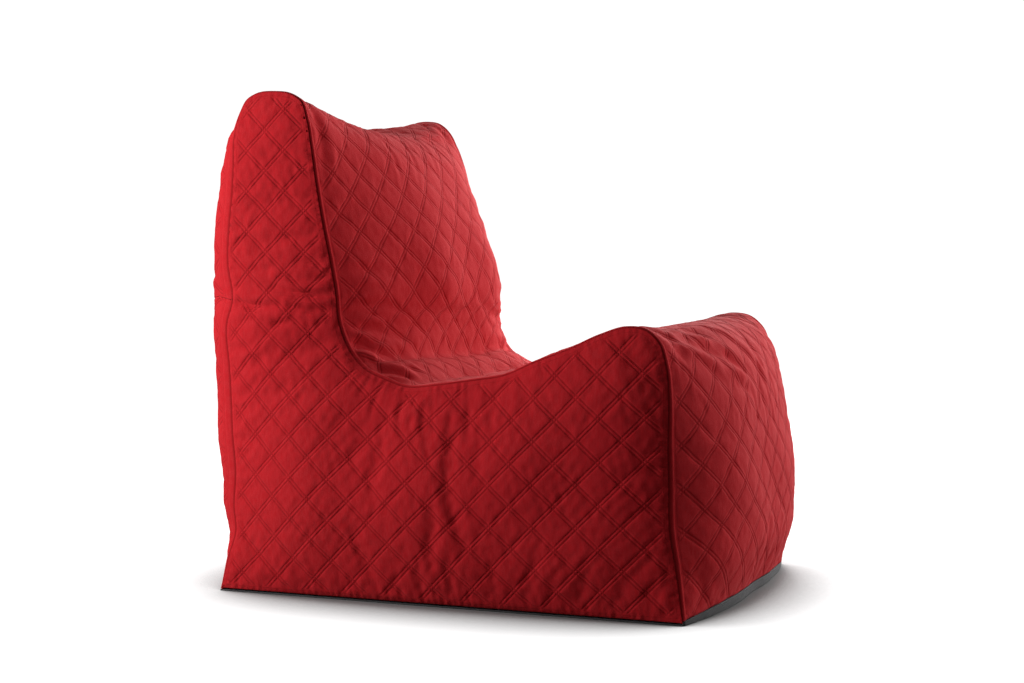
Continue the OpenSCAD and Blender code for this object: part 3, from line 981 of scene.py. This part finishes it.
def simulate_band():
    xs = np.arange(-HALF_W, HALF_W + SIM_STEP / 2, SIM_STEP)
    along = np.arange(10 * MM, LENGTH - 10 * MM, SIM_STEP)
    gx, gs = np.meshgrid(xs, along, indexing="ij")
    flat_x, flat_s = gx.ravel(), gs.ravel()
    places = columns(*band(flat_x, flat_s)).reshape(*gx.shape, 3)
    normal = band_normal(flat_x, flat_s).reshape(*gx.shape, 3)
    held = (np.abs(gx) > HALF_W - 1.5 * SIM_STEP) | (np.abs(gs - ZIP_S) < 0.05)
    held[:, :2] = True
    held[:, -2:] = True
    moved = relax("band_cloth", places, np.ones(gx.shape, bool), held)
    height = (moved * normal).sum(axis=-1)
    return Grid(np.array([xs[0], along[0]]), SIM_STEP, wrinkles_only(height))


# --- building the cover

cover_material = quilted_cloth()
right = Side(0)
left = Side(1)
right.extra = simulate_side(right)
left.extra = simulate_side(left)
band_extra = simulate_band()
side_right = make_side(right, "cover_side_right")
side_left = make_side(left, "cover_side_left")
centre = make_band(centre_outline(), "cover_centre_panel")
lower = make_band(lower_outline(), "cover_lower_back_panel")


# --- the base

BASE_T = 2.5 * MM


def make_base():
    """The base cloth: flat on the floor, its front edge curled up against the band."""
    across, up, back = 90, 8, 40
    xs = np.linspace(-HALF_W, HALF_W, across + 1)
    plate_back = seam_point(np.array([LENGTH]), 0.5)[0][0]
    layers = []
    for thick in (0.0, BASE_T):
        ring = []
        for k in range(up, -1, -1):
            share = k / up
            px, py, pz = band(xs, front_edge(xs) * share, lift=0.5 * MM - thick)
            round_off = 3 * MM * (1 - share) ** 3
            z = np.maximum(pz, 0.0) * share + thick * (1 - share)
            ring.append(columns(px, py + round_off, z))
        front_x, front_y = ring[-1][:, 0], ring[-1][:, 1]
        for k in range(1, back + 1):
            y = front_y + (plate_back - front_y) * (k / back)
            ring.append(columns(front_x, y, np.full(len(xs), thick)))
        layers.append(np.array(ring))
    index = np.arange(layers[0].size // 3).reshape(layers[0].shape[:2])
    shift = index.size
    a, b, d, e = (part.ravel() for part in (index[:-1, :-1], index[:-1, 1:], index[1:, :-1],
                                            index[1:, 1:]))
    rim = np.concatenate([index[0], index[1:, -1], index[-1, -2::-1], index[-2:0:-1, 0]])
    after = np.roll(rim, -1)
    faces = [columns(a, e, b), columns(a, d, e), columns(a, b, e) + shift, columns(a, e, d) + shift,
             columns(rim, after, after + shift), columns(rim, after + shift, rim + shift)]
    points = np.concatenate([layer.reshape(-1, 3) for layer in layers])
    return mesh_object("base_cloth_panel", points, np.concatenate(faces), {})


# --- the liner and the beads

# The liner's face lies this far inside the cover's outline, and this far inside its side panels
LINER_DEPTH = 15.5 * MM
LINER_SIDE = 7 * MM
LINER_T = 1 * MM
LINER_LOW = 6.8 * MM
FILL_DEPTH = 22 * MM
FILL_SIDE = 9.5 * MM
liner_waves = Waves(45 * MM, 170 * MM, 30)


def inner_band(x, s, depth, half, slack):
    """A layer under the band: x runs over the cover's width, and half is the layer's own."""
    px, py, pz = band(x, s, lift=-depth)
    calm = smooth(np.abs(s - ZIP_S), 0.03, 0.08) * smooth(HALF_W - np.abs(x), 0.0, 0.04)
    wave = slack * liner_waves(x, s) * calm
    py = py + wave * at(s, NORMAL[:, 0])
    pz = np.maximum(pz + wave * at(s, NORMAL[:, 1]), LINER_LOW)
    return columns(px * half / HALF_W, py, pz)


def inner_side(side, uv, depth, inset, slack):
    """A layer under a side panel, drawn in at its edge to meet the layer under the band."""
    y, z = uv.T
    d, near = side.to_seam(y, z)
    x = side.x(y, z, d) - inset + slack * liner_waves(y, z) * smooth(d, 0.0, 0.04)
    pull = depth * np.exp(-d / (26 * MM))
    edge = side.out[near]
    z = np.maximum(z - pull * edge[:, 1], LINER_LOW)
    return columns(side.sign * x, y - pull * edge[:, 0], z)


def thin_sheet(name, outline, place, flip=False):
    """A closed thin sheet: place(points, depth) gives its skins."""
    verts, faces = coarse_mesh(outline, 13 * MM, 7 * MM)
    outer, inner = place(verts, 0.0), place(verts, LINER_T)
    points, all_faces = close_sheet(outer, faces, inner, faces, len(outline))
    return mesh_object(name, points, all_faces, {"cloth": np.concatenate([verts, verts])}, flip)


def liner_band_place(uv, depth):
    half = HALF_W - LINER_SIDE - LINER_T - 0.4 * MM
    return inner_band(*uv.T, LINER_DEPTH + depth, half, 0.8 * MM)


def liner_side_place(side):
    def place(uv, depth):
        return inner_side(side, uv, LINER_DEPTH + depth, LINER_SIDE + depth, 0.6 * MM)
    return place


def make_liner_base():
    low_corner, high_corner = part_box("liner_base")
    outline = run([(low_corner.x, low_corner.y), (high_corner.x, low_corner.y),
                   (high_corner.x, high_corner.y), (low_corner.x, high_corner.y),
                   (low_corner.x, low_corner.y)], 12 * MM)

    def place(uv, depth):
        wave = 0.25 * MM * liner_waves(*uv.T)
        return columns(*uv.T, high_corner.z - depth + wave)
    return thin_sheet("liner_base_cloth", outline, place)


def make_beads():
    """The loose beads as one closed body: the band's ring closed under the seat, and two caps."""
    step, across = 9 * MM, 60
    _, s = outline_of(0, step)
    half = HALF_W - FILL_SIDE
    xs = np.linspace(-HALF_W, HALF_W, across + 1)
    rows = [inner_band(xs, np.full(len(xs), value), FILL_DEPTH, half, 0.0) for value in s[s >= 0]]
    first, last = rows[0], rows[-1]
    rows += [last + (first - last) * -value for value in s[s < 0]]
    count = len(rows)
    index = np.arange(count * (across + 1)).reshape(count, -1)
    after = np.roll(index, -1, axis=0)
    a, b, d, e = (part.ravel() for part in (index[:, :-1], index[:, 1:], after[:, :-1], after[:, 1:]))
    faces = [columns(a, b, e), columns(a, e, d)]
    start = index.size
    for side, column in ((right, 0), (left, -1)):
        verts, tris = coarse_mesh(outline_of(side.left, step)[0], 14 * MM, 8 * MM)
        cap = inner_side(side, verts, FILL_DEPTH, FILL_SIDE, 0.0)[count:]
        tris = np.concatenate([index[:, column], start + np.arange(len(cap))])[tris]
        faces.append(tris[:, ::-1] if side.left == 0 else tris)
        rows.append(cap)
        start += len(cap)
    points = np.concatenate(rows)
    points[:, 2] = np.maximum(points[:, 2], LINER_LOW + 0.6 * MM)
    return mesh_object("bead_filling", points, np.concatenate(faces), {})


# --- the zips' teeth

TOOTH_PITCH = 3 * MM


def boxes(name, corners):
    """One object of separate boxes, each from a low and a high corner."""
    points, faces = [], []
    order = ((0, 2, 3, 1), (4, 5, 7, 6), (0, 1, 5, 4), (2, 6, 7, 3), (0, 4, 6, 2), (1, 3, 7, 5))
    for low_corner, high_corner in corners:
        start = len(points)
        for k in range(8):
            points.append([(low_corner, high_corner)[k >> axis & 1][axis] for axis in range(3)])
        for a, b, c, d in order:
            faces += [(start + a, start + b, start + c), (start + a, start + c, start + d)]
    piece = mesh_object(name, np.array(points), np.array(faces), {})
    piece.data.polygons.foreach_set("use_smooth", np.zeros(len(piece.data.polygons), bool))
    return piece


def make_teeth(node, upper):
    """A row of moulded teeth on a cord, inside the bar that stands for it in the CAD model."""
    low_corner, high_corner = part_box(node)
    tip, root = (low_corner.z, high_corner.z) if upper else (high_corner.z, low_corner.z)
    into = root - tip
    middle = (low_corner.y + high_corner.y) / 2
    parts = [((low_corner.x, middle - 0.7 * MM, min(root, root - 0.16 * into)),
              (high_corner.x, middle + 0.7 * MM, max(root, root - 0.16 * into)))]
    count = int((high_corner.x - low_corner.x) / TOOTH_PITCH) - 1
    for k in range(count):
        x = low_corner.x + (k + (0.75 if upper else 1.25)) * TOOTH_PITCH
        for a, b, wide, tall in ((0.0, 0.42, 0.95, 1.3), (0.40, 0.88, 0.6, 1.0)):
            za, zb = sorted((tip + a * into, tip + b * into))
            parts.append(((x - wide * MM, middle - tall * MM, za), (x + wide * MM, middle + tall * MM, zb)))
    return boxes(node + "_moulded", parts)


# --- the other materials


def liner_cloth():
    m = Shader("liner_cloth")
    place = m.object_place()
    thread = m.noise(place, 700, 2.0, 0.6)
    patch = m.noise(place, 9, 3.0, 0.5)
    colour = m.mix(m.remap(thread, 0.3, 0.7), (0.70, 0.70, 0.67), (0.80, 0.80, 0.78))
    colour = m.mix(m.times(m.remap(patch, 0.4, 0.7), 0.3), colour, (0.66, 0.65, 0.62))
    m.set(Base_Color=colour, Roughness=0.9, Specular_IOR_Level=0.2, Sheen_Weight=0.1)
    m.set(Normal=m.bump(m.math("ADD", thread, m.noise(place, 60, 3.0, 0.5)), 0.6 * MM, 0.5))
    return m.material


def bead_material():
    """Loose white beads of about 4 mm, each a cell of its own."""
    m = Shader("beads")
    cells = m.tree.nodes.new("ShaderNodeTexVoronoi")
    cells.inputs["Scale"].default_value = 250.0
    m.put(cells.inputs["Vector"], m.object_place())
    near = cells.outputs["Distance"]
    # Painted shade: each bead goes from white at its middle to grey at its edge, as shade where the beads
    # curve away and meet.
    m.set(Base_Color=m.mix(m.remap(near, 0.2, 0.75), (0.90, 0.90, 0.89), (0.52, 0.52, 0.52)),
          Roughness=0.7, Subsurface_Weight=0.0)
    m.set(Normal=m.bump(m.math("SUBTRACT", 1.0, near), 2.0 * MM, 0.9))
    return m.material


def metal_material():
    m = Shader("zip_metal")
    place = m.object_place()
    brush = m.noise(place, 900, 2.0, 0.6, stretch=(0.08, 1.0, 1.0))
    wear = m.noise(place, 160, 3.0, 0.6)
    m.set(Base_Color=m.mix(m.remap(wear, 0.3, 0.75), (0.62, 0.62, 0.64), (0.42, 0.42, 0.44)),
          Metallic=1.0, Roughness=m.remap(wear, 0.2, 0.8, 0.24, 0.44, kind="LINEAR"))
    m.set(Normal=m.bump(brush, 0.05 * MM, 0.5))
    return m.material


def teeth_material(name, colour, other):
    m = Shader(name)
    grain = m.noise(m.object_place(), 500, 2.0, 0.5)
    m.set(Base_Color=m.mix(grain, colour, other), Roughness=0.42, Specular_IOR_Level=0.5)
    m.set(Normal=m.bump(grain, 0.05 * MM, 0.4))
    return m.material


# --- placing the soft pieces and giving out materials


def cut_to(outline):
    """The rectangle that a flat pattern is cut from, and the pattern's own area."""
    size = outline.max(0) - outline.min(0)
    return (float(size[0]), float(size[1])), abs(double_area(outline)) / 2


def put(piece, material, node):
    piece.data.materials.append(material)
    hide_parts(node)
    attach(piece, "chair")


grey = plain("base_cloth", (0.022, 0.022, 0.024), (0.036, 0.036, 0.038))
liner_look = liner_cloth()
metal = metal_material()
red_tape = plain("zip_tape", (0.30, 0.008, 0.014), (0.40, 0.016, 0.024), pitch=1.1 * MM)
white_tape = plain("liner_tape", (0.66, 0.66, 0.64), (0.78, 0.78, 0.76), pitch=1.1 * MM)
red_teeth = teeth_material("zip_teeth", (0.26, 0.006, 0.011), (0.36, 0.012, 0.018))
white_teeth = teeth_material("liner_teeth", (0.70, 0.70, 0.68), (0.80, 0.80, 0.78))

for piece, node in ((side_right, "side_panel_right"), (side_left, "side_panel_left"),
                    (centre, "centre_panel"), (lower, "lower_back_panel")):
    put(piece, cover_material, node)
base = make_base()
put(base, grey, "base_panel")
beads = make_beads()
put(beads, bead_material(), "bead_fill")
liner_right = thin_sheet("liner_side_right_cloth", right.outline, liner_side_place(right), flip=True)
liner_left = thin_sheet("liner_side_left_cloth", left.outline, liner_side_place(left))
liner_centre = thin_sheet("liner_band_cloth", centre_outline(), liner_band_place)
liner_lower = thin_sheet("liner_lower_back_cloth", lower_outline(), liner_band_place)
liner_foot = make_liner_base()
for piece in (liner_right, liner_left, liner_centre, liner_lower, liner_foot):
    put(piece, liner_look, piece.name.removesuffix("_cloth"))
for kind, look in (("cover", red_teeth), ("liner", white_teeth)):
    for row in ("upper", "lower"):
        node = kind + "_zip_" + row + "_teeth"
        put(make_teeth(node, row == "upper"), look, node)


def give(node, material):
    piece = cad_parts[node]
    piece.data.materials.clear()
    piece.data.materials.append(material)
    return piece


for node in ("cover_zip_stops", "cover_zip_slider", "cover_zip_pull", "liner_zip_stops",
             "liner_zip_slider"):
    give(node, metal)
for kind, tape, panels in (("cover", red_tape, (centre, lower)),
                           ("liner", white_tape, (liner_centre, liner_lower))):
    for row, panel in zip(("upper", "lower"), panels):
        node = kind + "_zip_" + row + "_tape"
        give(node, tape)

SHEETS = (
    (side_right, right.outline, liner_right), (side_left, left.outline, liner_left),
    (centre, centre_outline(), liner_centre), (lower, lower_outline(), liner_lower),
    (liner_right, right.outline, beads), (liner_left, left.outline, beads),
    (liner_centre, centre_outline(), beads), (liner_lower, lower_outline(), beads),
)
for piece, outline, under in SHEETS:
    flat, area = cut_to(outline)


# --- floor, light and camera


def aimed(name, data, place, target):
    """A light or camera in the scene, at a place and facing a point."""
    thing = bpy.data.objects.new(name, data)
    thing.location = place
    turn = Vector(target) - Vector(place)
    thing.rotation_euler = turn.to_track_quat("-Z", "Y").to_euler()
    bpy.context.scene.collection.objects.link(thing)
    return thing


def light(name, place, size, power):
    data = bpy.data.lights.new(name, "AREA")
    data.shape = "RECTANGLE"
    data.size, data.size_y = size
    data.energy = power
    aimed(name, data, place, LIT).visible_camera = False


FLOOR_BOUNCE = 0.22
FLOOR_GLOW = 1.1
SHADOW_REACH = 0.32
WORLD_LIGHT = 0.05
# The point that every light faces
LIT = (0, 0, 0.45)


def build_world():
    """White behind the object, and a weaker even light on it."""
    world = bpy.data.worlds.new("studio")
    world.use_nodes = True
    tree = world.node_tree
    strength = tree.nodes.new("ShaderNodeMapRange")
    strength.inputs["To Min"].default_value = WORLD_LIGHT
    strength.inputs["To Max"].default_value = 1.05
    tree.links.new(seen(tree), strength.inputs["Value"])
    background = tree.nodes["Background"]
    background.inputs["Color"].default_value = (1, 1, 1, 1)
    tree.links.new(strength.outputs[0], background.inputs["Strength"])
    bpy.context.scene.world = world


def build_stage():
    size = 30.0
    mesh = bpy.data.meshes.new("studio_floor")
    corners = [(-size, -size, 0), (size, -size, 0), (size, size, 0), (-size, size, 0)]
    mesh.from_pydata(corners, [], [(0, 1, 2, 3)])
    floor = bpy.data.objects.new("studio_floor", mesh)
    bpy.context.scene.collection.objects.link(floor)
    floor.data.materials.append(floor_material())
    build_world()
    light("light_behind", (-1.45, 2.0, 1.15), (1.0, 1.2), 55)
    light("light_front", (2.6, -2.6, 1.4), (3.6, 3.0), 142)
    light("light_side", (3.4, 0.0, 1.5), (2.8, 2.8), 180)


CAMERA_PLACE = (-3.2565, -1.3284 + SET_BACK, 0.6107)
CAMERA_TARGET = (-0.001, -0.005 + SET_BACK, 0.474)
CAMERA_LENS = 61.63


def build_camera():
    data = bpy.data.cameras.new("camera")
    data.lens = CAMERA_LENS
    data.sensor_width = 36
    bpy.context.scene.camera = aimed("camera", data, CAMERA_PLACE, CAMERA_TARGET)


build_stage()
build_camera()
scene = bpy.context.scene
scene.view_settings.view_transform = "Standard"
